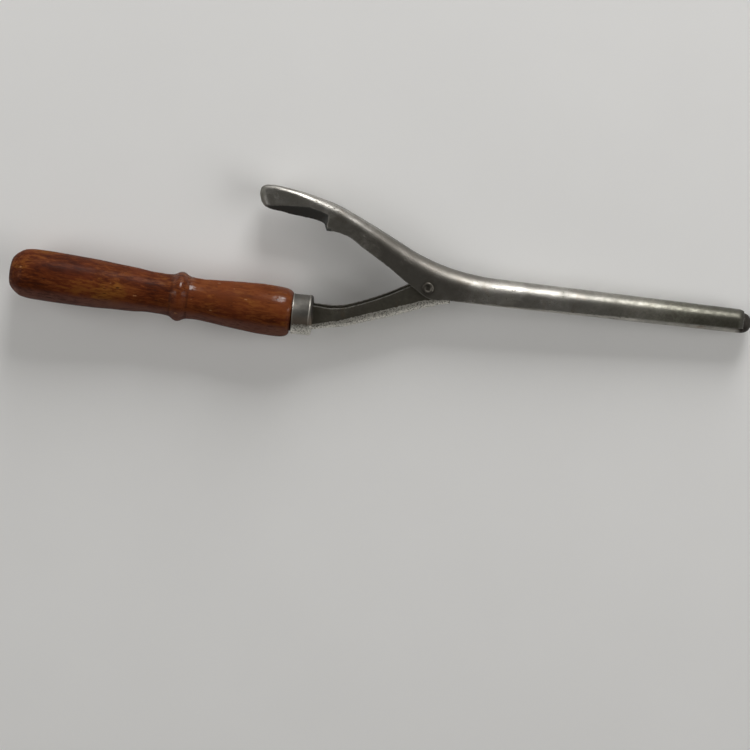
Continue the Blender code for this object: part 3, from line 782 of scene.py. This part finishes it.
def loft_channel(name, rows, material, sheet, steps, ripple, seed):
    """A pressed channel: each row gives its back's point, its edges' point and its section.
    The outer side waves by ripple. "edge" says how far a point is from the sheet's edge, in
    millimetres, and "belly" and "lip" whether it is on the rounded back or on a turned-in lip."""
    bm = bmesh.new()
    edge_layer = bm.verts.layers.float.new("edge")
    belly_layer = bm.verts.layers.float.new("belly")
    lip_layer = bm.verts.layers.float.new("lip")
    ends = np.cumsum([0.0] + [np.linalg.norm(np.diff(pair, axis=0)) for pair in row_pairs(rows)])
    loops = []
    for k, (back_x, back_y, edge_x, edge_y, half_width, corner, curl, lip, lean) in enumerate(rows):
        back = Vector((back_x, back_y, 0.0))
        down = Vector((edge_x, edge_y, 0.0)) - back
        height = down.length + EDGE_WAVE * noise.noise(Vector((ends[k] * 0.7, seed, 0.0)))
        down.normalize()
        half = half_section(height, half_width, corner, curl, lip, steps)
        places = [(-across, depth, turned) for across, depth, turned in reversed(half[1:])] + half
        from_end = min(ends[k], ends[-1] - ends[k])
        loop = []
        for across, depth, turned in places:
            point = back + down * depth + Vector((0.0, 0.0, across))
            wave = noise.noise(Vector((point.x * 0.11, point.y * 0.16 + seed, point.z * 0.2)))
            fade = min(1.0, (height - depth) / 2.0)
            out = -down * max(0.0, 1 - depth / max(corner, 0.1))
            out += Vector((0.0, 0.0, math.copysign(min(1.0, abs(across) / half_width), across)))
            point += out.normalized() * wave * ripple * fade if out.length > 0 else Vector()
            point -= down * (across + half_width) * math.tan(math.radians(lean)) * (1 - depth / height)
            vert = bm.verts.new(point * MM)
            vert[edge_layer] = min(height - depth, from_end, 5.0)
            round_corner = (depth - corner * 0.62) / max(corner * 0.4, 0.1)
            vert[belly_layer] = 1.0 - min(max(round_corner, 0.0), 1.0)
            vert[lip_layer] = turned
            loop.append(vert)
        loops.append(loop)
    for first, second in zip(loops, loops[1:]):
        for i in range(len(first) - 1):
            bm.faces.new((first[i], first[i + 1], second[i + 1], second[i]))
    piece = add_piece(name, mesh_from(bm, name), material)
    shell = piece.modifiers.new("sheet", "SOLIDIFY")
    shell.thickness = sheet * MM
    shell.offset = -1.0
    bevel = piece.modifiers.new("edges", "BEVEL")
    bevel.width = SHEET_BEVEL * MM
    bevel.segments = 2
    bevel.limit_method = "ANGLE"
    bevel.angle_limit = math.radians(50)
    return piece


def row_pairs(rows):
    return [np.array([first[:2], second[:2]], float) for first, second in zip(rows, rows[1:])]


# ---------------------------------------------------------------------------- the pieces


def rod_radius(x):
    """The rod's radius, tapering evenly from its flats to its nose."""
    share = (x - ROD_FLATS_END_X) / (ROD_NOSE_X - ROD_FLATS_END_X)
    return ROD_ROOT_RADIUS + (ROD_TIP_RADIUS - ROD_ROOT_RADIUS) * min(max(share, 0.0), 1.0)


def handle_y(x):
    """The height of the handle's axis at x."""
    return BUTT[1] + (x - BUTT[0]) * math.tan(HANDLE_LEAN)


def dented(radius, height, angle):
    """The handle's radius at a point: a hand-turned piece's slight waves, and its dents."""
    around = Vector((math.cos(angle) * 1.3, math.sin(angle) * 1.3, height * 0.05))
    radius += 0.05 * noise.noise(around)
    for middle, degrees, reach, depth in HANDLE_DENTS:
        turn = (angle - math.radians(degrees) + math.pi) % (2 * math.pi) - math.pi
        away = math.hypot(height - middle, turn * radius) / reach
        if away < 1:
            radius -= depth * (1 - away * away) ** 2
    return radius


def make_handle(material):
    """The handle: its outline, the spigot that the ferrule covers, and the bore round the tang."""
    spigot = HANDLE_LENGTH + SPIGOT_LENGTH
    bottom = spigot - BORE_DEPTH
    outer = [(row[1], row[0]) for row in reversed(eased(HANDLE_PROFILE, 0.6, 14))]
    profile = [(0.0, bottom), (BORE_RADIUS, bottom), (BORE_RADIUS, spigot), (SPIGOT_RADIUS, spigot)]
    profile += [(SPIGOT_RADIUS, HANDLE_LENGTH)] + outer + [(0.0, 0.0)]

    def shape(radius, height, angle):
        outside = radius > SPIGOT_RADIUS and height < HANDLE_LENGTH
        return dented(radius, height, angle) if outside else radius

    handle = revolved("handle_turned", profile, material, 128, shape)
    lay_along(handle, BUTT, HANDLE_LEAN)
    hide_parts("handle")
    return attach(handle, "grip")


def make_ferrule(material):
    """The ferrule is a drawn cup, a little askew: a rim at its rear, a bead, a shoulder and a slot."""
    inside = FERRULE_RADIUS - CLAMP_SHEET
    shoulder = FERRULE_SHOULDER
    face = FERRULE_LENGTH + FERRULE_BULGE
    outer = [(0.0, face)]
    for share in np.linspace(0.1, 0.96, 14):
        height = FERRULE_LENGTH + FERRULE_BULGE * (1 - share**2)
        outer.append(((FERRULE_RADIUS - shoulder) * share, height))
    for degrees in range(8, 91, 9):
        turn = math.radians(degrees)
        radius = FERRULE_RADIUS - shoulder * (1 - math.sin(turn))
        outer.append((radius, FERRULE_LENGTH - shoulder * (1 - math.cos(turn))))
    for height in np.linspace(FERRULE_LENGTH - shoulder - 0.05, 0.02, 56):
        bead = 0.14 * math.exp(-(((height - FERRULE_BEAD) / 0.24) ** 2))
        flare = 0.12 * math.exp(-(((height - 0.25) / 0.4) ** 2))
        outer.append((FERRULE_RADIUS - FERRULE_WALL_DROP + bead + flare, height))
    inner = [(FERRULE_RADIUS - 0.3, -0.05), (inside, 0.1), (inside, FERRULE_LENGTH - 1.0)]
    inner += [(inside - 0.5, FERRULE_LENGTH - CLAMP_SHEET), (0.0, face - CLAMP_SHEET)]

    def shape(radius, height, angle):
        around = Vector((math.cos(angle) * 2.2, math.sin(angle) * 2.2, height * 0.3))
        return radius + (0.03 * noise.noise(around) if radius > 5.0 else 0.0)

    ferrule = revolved("ferrule_cup", outer + inner, material, ROUND_STEPS, shape)
    from_butt = HANDLE_LENGTH + FERRULE_STAND_OFF
    rear_x = BUTT[0] + from_butt * math.cos(HANDLE_LEAN)
    lay_along(ferrule, (rear_x, handle_y(rear_x)), FERRULE_LEAN)
    slot = make_slot_cutter()
    cut(ferrule, slot)
    settle(ferrule, [slot])
    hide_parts("ferrule")
    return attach(ferrule, "grip")


def make_slot_cutter():
    """The opening in the ferrule's face, which follows the shank's section with a gap all round."""
    bottom_x, bottom_y, _, top_y, half_width, corner = SHANK_STATIONS[0]
    half = half_section(top_y - bottom_y + 2 * GAP, half_width + GAP, corner + GAP, 0.0, 1.0, (10, 2, 1))
    outline = [(-across, depth) for across, depth, _ in reversed(half[1:])]
    outline += [(across, depth) for across, depth, _ in half[1:]]
    bm = bmesh.new()
    verts = []
    for across, depth in outline:
        point = Vector((bottom_x - 3.0, bottom_y - GAP + depth, across))
        verts.append(bm.verts.new(point * MM))
    grown = bmesh.ops.extrude_face_region(bm, geom=[bm.faces.new(verts)])
    moved = [item for item in grown["geom"] if isinstance(item, bmesh.types.BMVert)]
    bmesh.ops.translate(bm, verts=moved, vec=(6.0 * MM, 0.0, 0.0))
    return cutter_from(bm, "slot_cutter")


def make_shank(material):
    """The shank: a channel with its tang at the rear and two cheeks round the rod's flats in front."""
    tang = []
    for x, half_height in (TANG_END, TANG_FRONT):
        middle = handle_y(x)
        tang.append((x, middle - half_height, x, middle + half_height, TANG_HALF_WIDTH, TANG_CORNER))
    rows = [(*row, 0.0, 1.0, 0.0) for row in eased(tang + SHANK_STATIONS, 0.6, 16)]
    shank = loft_channel("shank_channel", rows, material, SHANK_SHEET, (14, 8, 2), 0.04, 5.0)
    reach = SHANK_HALF_WIDTH + 2.0
    cutters = [
        box_cutter("shank_floor_cutter", (FLOOR_END_X, -8.0, -reach), (24.0, CHEEK_BOTTOM_Y, reach)),
        round_cutter("shank_pivot_cutter", RIVET_RADIUS + PIVOT_GAP, (0.0, 0.0), reach),
        round_cutter("shank_rod_cutter", ROD_RIVET_RADIUS + PIVOT_GAP, (ROD_RIVET_X, 0.0), reach),
    ]
    for cutter in cutters:
        cut(shank, cutter)
    settle(shank, cutters)
    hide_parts("shank")
    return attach(shank, "grip")


def make_rod(material):
    """The rod: turned, with a domed nose, and flattened at its root between the shank's cheeks."""
    nose = [(0.0, ROD_NOSE_X + ROD_NOSE_LENGTH)]
    for degrees in range(84, 0, -7):
        turn = math.radians(degrees)
        radius = ROD_TIP_RADIUS * math.cos(turn) ** NOSE_FULLNESS
        nose.append((radius, ROD_NOSE_X + ROD_NOSE_LENGTH * math.sin(turn) ** NOSE_FULLNESS))
    body = [(rod_radius(x), x) for x in np.linspace(ROD_NOSE_X, ROD_FLATS_END_X, 60)]
    body += [(ROD_ROOT_RADIUS, ROD_SPIGOT_END_X)]
    spigot = [(ROD_SPIGOT_RADIUS, ROD_SPIGOT_END_X), (ROD_SPIGOT_RADIUS, ROD_ROOT_X)]

    def shape(radius, height, angle):
        around = Vector((math.cos(angle), math.sin(angle), height * 0.12))
        return radius + 0.02 * noise.noise(around)

    profile = nose + body + spigot + [(0.0, ROD_ROOT_X)]
    rod = revolved("rod_turned", profile, material, ROUND_STEPS, shape)
    lay_along(rod, (0.0, 0.0))
    flat = SHANK_HALF_WIDTH - SHANK_SHEET - GAP
    far = ROD_ROOT_RADIUS + 2.0
    rear = ROD_ROOT_X - 2.0
    cutters = [
        box_cutter("rod_flat_cutter_upper", (rear, -8.0, flat), (ROD_FLATS_END_X, 8.0, far)),
        box_cutter("rod_flat_cutter_lower", (rear, -8.0, -far), (ROD_FLATS_END_X, 8.0, -flat)),
        round_cutter("rod_hole_cutter", ROD_RIVET_RADIUS + PIVOT_GAP, (ROD_RIVET_X, 0.0), far),
    ]
    for cutter in cutters:
        cut(rod, cutter)
    settle(rod, cutters)
    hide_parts("barrel_rod")
    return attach(rod, "grip")


def clamp_row(x, drop):
    """A row of the clamp's trough at x, drawn in by drop where its end follows the rod's nose."""
    half_width = rod_radius(x) + GAP + CLAMP_SHEET - drop
    share = (x - CLAMP_ROOT_X) / (CLAMP_END_X - CLAMP_ROOT_X)
    edge_y = CLAMP_EDGE_ROOT_Y + (CLAMP_EDGE_TIP_Y - CLAMP_EDGE_ROOT_Y) * share
    return (x, half_width, x, edge_y, half_width, half_width, 0.0, 1.0, 0.0)


def make_lever(material):
    """The thumb lever and the clamp, one pressing from the thumb's end to the trough's."""
    keys = LEVER_STATIONS + [clamp_row(x, 0.0) for x in CLAMP_KEYS]
    keys += [clamp_row(x, drop) for x, drop in CLAMP_TIP_KEYS]
    rows = eased(keys, 0.75, 30)
    lever = loft_channel("lever_clamp_pressing", rows, material, CLAMP_SHEET, (16, 10, 12), 0.05, 11.0)
    hole = round_cutter("lever_pivot_cutter", RIVET_RADIUS + PIVOT_GAP, (0.0, 0.0), 9.0)
    cut(lever, hole)
    settle(lever, [hole])
    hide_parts("lever_clamp")
    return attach(lever, "lever")


def make_pivot_rivet(material):
    """A rivet whose ends are rolled over: each head is a low ring round a dimple."""
    wall = PIVOT_HALF_WIDTH + HEAD_GAP
    head = [(0.0, 0.16), (0.5, 0.17), (0.85, 0.24), (1.1, 0.38), (1.35, 0.47), (1.6, 0.46)]
    head += [(1.85, 0.38), (2.02, 0.24), (2.1, 0.08), (2.08, 0.0)]
    head = [(row[0], row[1]) for row in eased(head, 0.09, 4)]
    half = [(radius, wall + height) for radius, height in head]
    half += [(RIVET_RADIUS, wall)]
    profile = half + [(radius, -height) for radius, height in reversed(half)]

    def shape(radius, height, angle):
        if radius <= RIVET_RADIUS + 0.01 and abs(height) <= wall:
            return radius
        around = Vector((math.cos(angle) * 1.2, math.sin(angle) * 1.2, height))
        return radius * (1 + 0.05 * noise.noise(around) * min(1.0, radius))

    rivet = revolved("pivot_rivet_set", profile, material, 72, shape)
    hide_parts("pivot_rivet")
    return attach(rivet, "grip")


def spring_path():
    """The spring's middle line: one leg on the shank's floor, the coil, one leg under the lever."""
    radius = RIVET_RADIUS + PIVOT_GAP + BUSH_WALL + GAP + SPRING_WIRE_RADIUS
    sweep = math.radians(360 * SPRING_TURNS + SPRING_EXTRA_TURN)
    pitch = SPRING_PITCH / math.radians(360)
    steps = round(SPRING_STEPS * sweep / math.radians(360))
    coil = []
    for i in range(steps + 1):
        turn = sweep * i / steps
        angle = SPRING_START + turn
        coil.append((radius * math.cos(angle), radius * math.sin(angle), (turn - sweep / 2) * pitch))
    lower = [(x, y, coil[0][2] * SPRING_LEG_INSET) for x, y in reversed(LOWER_LEG)]
    upper = [(x, y, coil[-1][2] * SPRING_LEG_INSET) for x, y in UPPER_LEG]
    path = [Vector(point) for point in lower + coil + upper]
    for _ in range(3):
        path = corners_cut(path)
    return path


def corners_cut(path):
    """One round of corner cutting on every bend of the path that is longer than the coil's steps."""
    made = [path[0]]
    for first, second in zip(path, path[1:]):
        if (second - first).length > 0.6:
            made += [first.lerp(second, 0.12), first.lerp(second, 0.88)]
        else:
            made.append(first.lerp(second, 0.5))
    return made + [path[-1]]


def make_spring(material):
    """The spring: round wire along its path."""
    wire = bpy.data.curves.new("spring_path", "CURVE")
    wire.dimensions = "3D"
    wire.bevel_depth = SPRING_WIRE_RADIUS * MM
    wire.bevel_resolution = 4
    wire.use_fill_caps = True
    path = spring_path()
    spline = wire.splines.new("POLY")
    spline.points.add(len(path) - 1)
    for point, place in zip(spline.points, path):
        point.co = (*(place * MM), 1.0)
    guide = bpy.data.objects.new("spring_guide", wire)
    bpy.context.scene.collection.objects.link(guide)
    bpy.context.view_layer.update()
    depsgraph = bpy.context.evaluated_depsgraph_get()
    mesh = bpy.data.meshes.new_from_object(guide.evaluated_get(depsgraph))
    bpy.data.objects.remove(guide, do_unlink=True)
    mesh.materials.clear()
    smooth(mesh)
    spring = add_piece("spring_wire", mesh, material)
    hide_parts("lever_spring")
    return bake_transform(spring)


# ---------------------------------------------------------------------------- the studio


def look_from(obj, place, target):
    obj.location = place
    obj.rotation_mode = "QUATERNION"
    obj.rotation_quaternion = (Vector(place) - Vector(target)).to_track_quat("Z", "Y")


def make_camera():
    tilted_up = Vector((0.0, math.cos(CAMERA_TILT), -math.sin(CAMERA_TILT)))
    back = Vector((0.0, math.sin(CAMERA_TILT), math.cos(CAMERA_TILT)))
    right = Vector((math.cos(CAMERA_ROLL), 0.0, 0.0)) + tilted_up * math.sin(CAMERA_ROLL)
    up = tilted_up * math.cos(CAMERA_ROLL) - Vector((math.sin(CAMERA_ROLL), 0.0, 0.0))
    aim = PIVOT + Vector((0.0, 0.0, RIVET_HEAD_Z)) + right * AIM_RIGHT + up * AIM_UP
    data = bpy.data.cameras.new("photo_camera")
    data.sensor_width = SENSOR_WIDTH
    data.lens = SENSOR_WIDTH * CAMERA_DISTANCE / VIEW_WIDTH
    data.clip_start = 0.05
    camera = bpy.data.objects.new("photo_camera", data)
    bpy.context.scene.collection.objects.link(camera)
    turn = Matrix((right, up, back)).transposed().to_4x4()
    camera.matrix_world = Matrix.Translation(aim + back * CAMERA_DISTANCE) @ turn
    bpy.context.scene.camera = camera


def make_softbox(name, azimuth, elevation, distance, size, power):
    """An area light round the pivot. Azimuth is measured from +X towards +Y."""
    data = bpy.data.lights.new(name, "AREA")
    data.shape = "RECTANGLE"
    data.size, data.size_y = size
    data.energy = power
    light = bpy.data.objects.new(name, data)
    bpy.context.scene.collection.objects.link(light)
    flat = math.cos(math.radians(elevation))
    way = Vector((
        math.cos(math.radians(azimuth)) * flat,
        math.sin(math.radians(azimuth)) * flat,
        math.sin(math.radians(elevation)),
    ))
    look_from(light, PIVOT + way * distance, PIVOT)
    light.visible_camera = False


def make_world():
    """A dim surround, paler towards the horizon."""
    world = bpy.data.worlds.new("studio")
    world.use_nodes = True
    tree = world.node_tree
    way = tree.nodes.new("ShaderNodeTexCoord").outputs["Generated"]
    height = tree.nodes.new("ShaderNodeSeparateXYZ")
    tree.links.new(way, height.inputs[0])
    ramp = tree.nodes.new("ShaderNodeValToRGB")
    tree.links.new(height.outputs["Z"], ramp.inputs[0])
    ramp.color_ramp.interpolation = "EASE"
    while len(ramp.color_ramp.elements) < len(SURROUND):
        ramp.color_ramp.elements.new(0.5)
    for element, (place, colour) in zip(ramp.color_ramp.elements, SURROUND):
        element.position = place
        element.color = (*colour, 1.0)
    tree.links.new(ramp.outputs[0], tree.nodes["Background"].inputs["Color"])
    bpy.context.scene.world = world


def make_floor(material):
    bm = bmesh.new()
    bmesh.ops.create_grid(bm, x_segments=8, y_segments=8, size=FLOOR_SIZE / 2)
    mesh = mesh_from(bm, "floor")
    mesh.materials.append(material)
    floor = bpy.data.objects.new("floor", mesh)
    bpy.context.scene.collection.objects.link(floor)
    floor.location = PIVOT + FLOOR_CONTACT
    rise = FLOOR_TIP - FLOOR_CONTACT
    floor.rotation_euler = (0.0, -math.atan2(rise.z, rise.x), 0.0)


def build():
    """Builds the studio and the pieces, and gives the two hidden CAD parts their steel."""
    make_camera()
    make_world()
    for softbox in SOFTBOXES:
        make_softbox(*softbox)
    make_floor(plain_floor("pale_floor"))

    rivets = rivet_steel("rivet_steel")
    make_handle(varnished_wood("varnished_wood"))
    make_ferrule(ferrule_steel("ferrule_steel"))
    make_shank(shank_steel("shank_steel"))
    make_rod(rod_steel("rod_steel"))
    make_lever(clamp_steel("clamp_steel"))
    make_pivot_rivet(rivets)
    make_spring(spring_steel("spring_steel"))
    for node in ("pivot_bush", "rod_rivet"):
        for slot in frame["nodes"][node].material_slots:
            slot.material = rivets
    bpy.context.scene.view_settings.view_transform = "Standard"


build()
bpy.context.view_layer.update()
